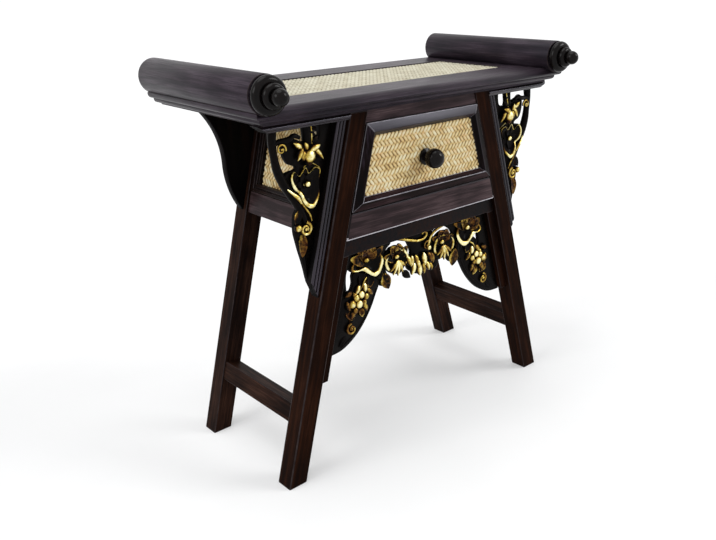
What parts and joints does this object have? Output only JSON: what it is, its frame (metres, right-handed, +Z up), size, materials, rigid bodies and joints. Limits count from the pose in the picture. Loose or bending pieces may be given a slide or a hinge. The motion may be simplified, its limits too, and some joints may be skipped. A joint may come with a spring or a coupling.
{
  "type": "sideboard",
  "caption": "Small console sideboard on splayed legs: scroll-ended top, sliding drawer with a turned knob, woven panels, pierced floral carving on brackets and apron.",
  "frame": {"origin": "on the floor, under the middle of the object's overall box", "axes": "+X along the front to the right, -Y out of the drawer front, +Z up"},
  "size_m": [0.828, 0.441, 0.8075],
  "materials": {
    "frame_wood": "dark stained, satin lacquer",
    "turned_wood": "black stained, gloss lacquer",
    "carving": "black with rubbed gold highlights",
    "woven": "natural woven straw, matt",
    "inner_wood": "plain stained wood",
    "steel": "plain"
  },
  "bodies": {
    "carcass": {"apron_carving": "carving", "apron_left_strip": "frame_wood", "apron_right_strip": "frame_wood", "apron_top_strip": "frame_wood", "back_lower_rail": "frame_wood", "back_panel": "inner_wood", "back_top_rail": "frame_wood", "front_left_bracket_carving": "carving", "front_left_bracket_leg_strip": "frame_wood", "front_left_bracket_top_strip": "frame_wood", "front_left_leg": "frame_wood", "front_lower_rail": "frame_wood", "front_right_bracket_carving": "carving", "front_right_bracket_leg_strip": "frame_wood", "front_right_bracket_top_strip": "frame_wood", "front_right_leg": "frame_wood", "front_top_rail": "frame_wood", "left_bead_frame": "frame_wood", "left_drawer_runner": "inner_wood", "left_finial": "turned_wood", "left_panel_board": "inner_wood", "left_roll": "frame_wood", "left_side_lower_rail": "frame_wood", "left_side_top_rail": "frame_wood", "left_stretcher": "frame_wood", "left_woven_mat": "woven", "rear_left_bracket": "frame_wood", "rear_left_leg": "frame_wood", "rear_right_bracket": "frame_wood", "rear_right_leg": "frame_wood", "right_bead_frame": "frame_wood", "right_drawer_runner": "inner_wood", "right_finial": "turned_wood", "right_panel_board": "inner_wood", "right_roll": "frame_wood", "right_side_lower_rail": "frame_wood", "right_side_top_rail": "frame_wood", "right_stretcher": "frame_wood", "right_woven_mat": "woven", "top_back_rail": "frame_wood", "top_front_rail": "frame_wood", "top_left_end": "frame_wood", "top_panel_board": "inner_wood", "top_right_end": "frame_wood", "top_screws": "steel", "top_woven_mat": "woven"},
    "drawer": {"drawer_back": "inner_wood", "drawer_bottom": "inner_wood", "drawer_front": "frame_wood", "drawer_knob": "turned_wood", "drawer_knob_screw": "steel", "drawer_left_side": "inner_wood", "drawer_moulding_bottom": "frame_wood", "drawer_moulding_left": "frame_wood", "drawer_moulding_right": "frame_wood", "drawer_moulding_top": "frame_wood", "drawer_right_side": "inner_wood", "drawer_woven_mat": "woven"}
  },
  "joints": [
    {"name": "drawer_slide", "type": "slide", "parent": "carcass", "child": "drawer", "axis": [0, -1, 0], "range_m": [0, 0.19]}
  ]
}
